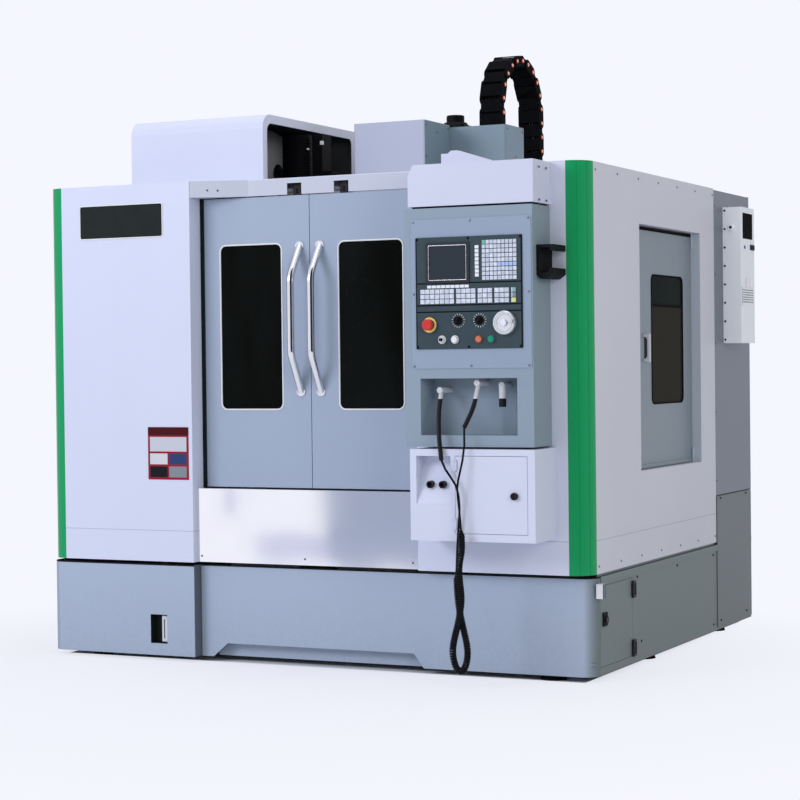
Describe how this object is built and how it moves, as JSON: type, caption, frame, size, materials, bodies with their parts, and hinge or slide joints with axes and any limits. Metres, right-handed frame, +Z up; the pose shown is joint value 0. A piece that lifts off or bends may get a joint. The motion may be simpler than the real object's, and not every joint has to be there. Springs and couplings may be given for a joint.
{
  "type": "cnc machining center",
  "caption": "Enclosed vertical machining centre with sliding doors, side console, arm tool changer and XYZ slides under sheet covers.",
  "frame": {"origin": "on the floor, in the middle of the machine's footprint", "axes": "+Z up, -Y out of the front doors, +X to the right of a person who faces them"},
  "size_m": [2.368, 2.2424, 2.437],
  "materials": {
    "white_enamel": "satin powder coat",
    "grey_enamel": "satin powder coat",
    "blue_grey_enamel": "satin powder coat",
    "green_enamel": "satin powder coat",
    "casting_paint": "painted casting",
    "ground_iron": "ground",
    "ground_steel": "ground",
    "mirror_steel": "mirror polished stainless",
    "chrome_tube": "polished",
    "black_paint": "satin",
    "black_plastic": "moulded",
    "charcoal_plastic": "printed membrane",
    "white_plastic": "moulded",
    "red_plastic": "moulded",
    "orange_plastic": "moulded",
    "green_plastic": "moulded",
    "screen_glass": "gloss",
    "window_glass": "clear laminated",
    "brushed_aluminium": "brushed",
    "rubber_feet": "moulded"
  },
  "bodies": {
    "machine": {"base_cover": "blue_grey_enamel", "levelling_feet": "rubber_feet", "bed_casting": "casting_paint", "column": "casting_paint", "inner_guard": "grey_enamel", "front_panels": "white_enamel", "corner_strips": "green_enamel", "side_panels": "white_enamel", "roof_panel": "white_enamel", "door_lintel": "white_enamel", "front_apron": "mirror_steel", "console_housing": "grey_enamel", "console_faceplate": "grey_enamel", "console_cap": "white_enamel", "control_fascia": "charcoal_plastic", "screen": "screen_glass", "panel_keys": "white_plastic", "pendant_holder": "black_paint", "storage_box": "white_enamel", "electrical_cabinet": "grey_enamel", "cabinet_cooler": "white_enamel", "drive_motors": "black_paint", "magazine_frame": "casting_paint", "magazine_cover": "white_enamel", "cable_chain": "black_plastic", "niche_fittings": "chrome_tube", "left_lead": "black_plastic", "right_lead": "black_plastic", "curly_lead": "black_plastic"},
    "left_door": {"left_door": "blue_grey_enamel", "left_door_window": "window_glass", "left_door_handle": "chrome_tube"},
    "right_door": {"right_door": "blue_grey_enamel", "right_door_window": "window_glass", "right_door_handle": "chrome_tube"},
    "side_door": {"side_door": "white_enamel", "side_door_window": "window_glass"},
    "base_door": {"base_door": "blue_grey_enamel"},
    "storage_door": {"storage_door": "white_enamel"},
    "cabinet_door_left": {"cabinet_door_left": "grey_enamel"},
    "cabinet_door_right": {"cabinet_door_right": "grey_enamel"},
    "head": {"spindle_head": "casting_paint", "head_cover": "white_enamel", "spindle_motor": "black_paint"},
    "spindle": {"spindle": "ground_steel"},
    "z_ball_screw": {"z_ball_screw": "ground_steel"},
    "saddle": {"saddle": "casting_paint"},
    "y_cover": {"y_cover_middle": "mirror_steel"},
    "table": {"table": "ground_iron", "table_wings": "mirror_steel"},
    "magazine_disc": {"magazine_disc": "brushed_aluminium"},
    "tool_arm": {"tool_arm": "ground_steel"},
    "spindle_knob": {"spindle_knob": "black_plastic"},
    "feed_knob": {"feed_knob": "black_plastic"},
    "handwheel": {"handwheel": "white_plastic"},
    "key_switch": {"key_switch": "brushed_aluminium"},
    "emergency_stop": {"emergency_stop": "red_plastic"},
    "white_button": {"white_button": "white_plastic"},
    "orange_button": {"orange_button": "orange_plastic"},
    "green_button": {"green_button": "green_plastic"}
  },
  "joints": [
    {"name": "left_door_slide", "type": "slide", "parent": "machine", "child": "left_door", "axis": [-1, 0, 0], "range_m": [0, 0.4]},
    {"name": "right_door_slide", "type": "slide", "parent": "machine", "child": "right_door", "axis": [1, 0, 0], "range_m": [0, 0.4]},
    {"name": "side_door_hinge", "type": "hinge", "parent": "machine", "child": "side_door", "pos_m": [1.069, 0.393, 1.19], "axis": [0, 0, 1], "range_deg": [0, 90]},
    {"name": "base_door_hinge", "type": "hinge", "parent": "machine", "child": "base_door", "pos_m": [1.1054, -0.458, 0.19], "axis": [0, 0, 1], "range_deg": [0, 100]},
    {"name": "storage_door_hinge", "type": "hinge", "parent": "machine", "child": "storage_door", "pos_m": [0.6805, -1.0935, 0.678], "axis": [0, 0, -1], "range_deg": [0, 90]},
    {"name": "cabinet_door_left_hinge", "type": "hinge", "parent": "machine", "child": "cabinet_door_left", "pos_m": [-1.173, 1.0945, 1.2], "axis": [0, 0, 1], "range_deg": [0, 110]},
    {"name": "cabinet_door_right_hinge", "type": "hinge", "parent": "machine", "child": "cabinet_door_right", "pos_m": [1.091, 1.0945, 1.2], "axis": [0, 0, -1], "range_deg": [0, 110]},
    {"name": "head_slide", "type": "slide", "parent": "machine", "child": "head", "axis": [0, 0, 1], "range_m": [-0.5, 0], "deforming": ["cable_chain"]},
    {"name": "spindle_turn", "type": "hinge", "parent": "head", "child": "spindle", "pos_m": [-0.041, 0, 1.7], "axis": [0, 0, 1], "continuous": true},
    {"name": "saddle_slide", "type": "slide", "parent": "machine", "child": "saddle", "axis": [0, 1, 0], "range_m": [-0.2, 0.2]},
    {"name": "y_cover_slide", "type": "slide", "parent": "machine", "child": "y_cover", "axis": [0, 1, 0], "range_m": [-0.1, 0.1]},
    {"name": "table_slide", "type": "slide", "parent": "saddle", "child": "table", "axis": [1, 0, 0], "range_m": [-0.325, 0.325]},
    {"name": "magazine_turn", "type": "hinge", "parent": "machine", "child": "magazine_disc", "pos_m": [-0.681, 0, 1.825], "axis": [1, 0, 0], "continuous": true},
    {"name": "tool_arm_turn", "type": "hinge", "parent": "machine", "child": "tool_arm", "pos_m": [-0.371, 0, 1.46], "axis": [0, 0, 1], "range_deg": [0, 270]},
    {"name": "spindle_knob_turn", "type": "hinge", "parent": "machine", "child": "spindle_knob", "pos_m": [0.767, -1.087, 1.29], "axis": [0, -1, 0], "range_deg": [-150, 150]},
    {"name": "feed_knob_turn", "type": "hinge", "parent": "machine", "child": "feed_knob", "pos_m": [0.685, -1.087, 1.29], "axis": [0, -1, 0], "range_deg": [-150, 150]},
    {"name": "handwheel_turn", "type": "hinge", "parent": "machine", "child": "handwheel", "pos_m": [0.864, -1.087, 1.28], "axis": [0, -1, 0], "continuous": true},
    {"name": "key_switch_turn", "type": "hinge", "parent": "machine", "child": "key_switch", "pos_m": [0.622, -1.087, 1.224], "axis": [0, -1, 0], "range_deg": [0, 90]},
    {"name": "emergency_stop_push", "type": "slide", "parent": "machine", "child": "emergency_stop", "axis": [0, 1, 0], "range_m": [0, 0.005], "stiffness_N_per_m": 1500},
    {"name": "white_button_push", "type": "slide", "parent": "machine", "child": "white_button", "axis": [0, 1, 0], "range_m": [0, 0.003], "stiffness_N_per_m": 800},
    {"name": "orange_button_push", "type": "slide", "parent": "machine", "child": "orange_button", "axis": [0, 1, 0], "range_m": [0, 0.003], "stiffness_N_per_m": 800},
    {"name": "green_button_push", "type": "slide", "parent": "machine", "child": "green_button", "axis": [0, 1, 0], "range_m": [0, 0.003], "stiffness_N_per_m": 800},
    {"name": "z_screw_turn", "type": "hinge", "parent": "machine", "child": "z_ball_screw", "pos_m": [-0.041, 0.541, 1.2], "axis": [0, 0, 1], "range_deg": [-15020, 20]}
  ],
  "couplings": [
    {"joint": "y_cover_slide", "follows": "saddle_slide", "ratio": 0.5},
    {"joint": "z_screw_turn", "follows": "head_slide", "rad_per_m": 523.6}
  ]
}
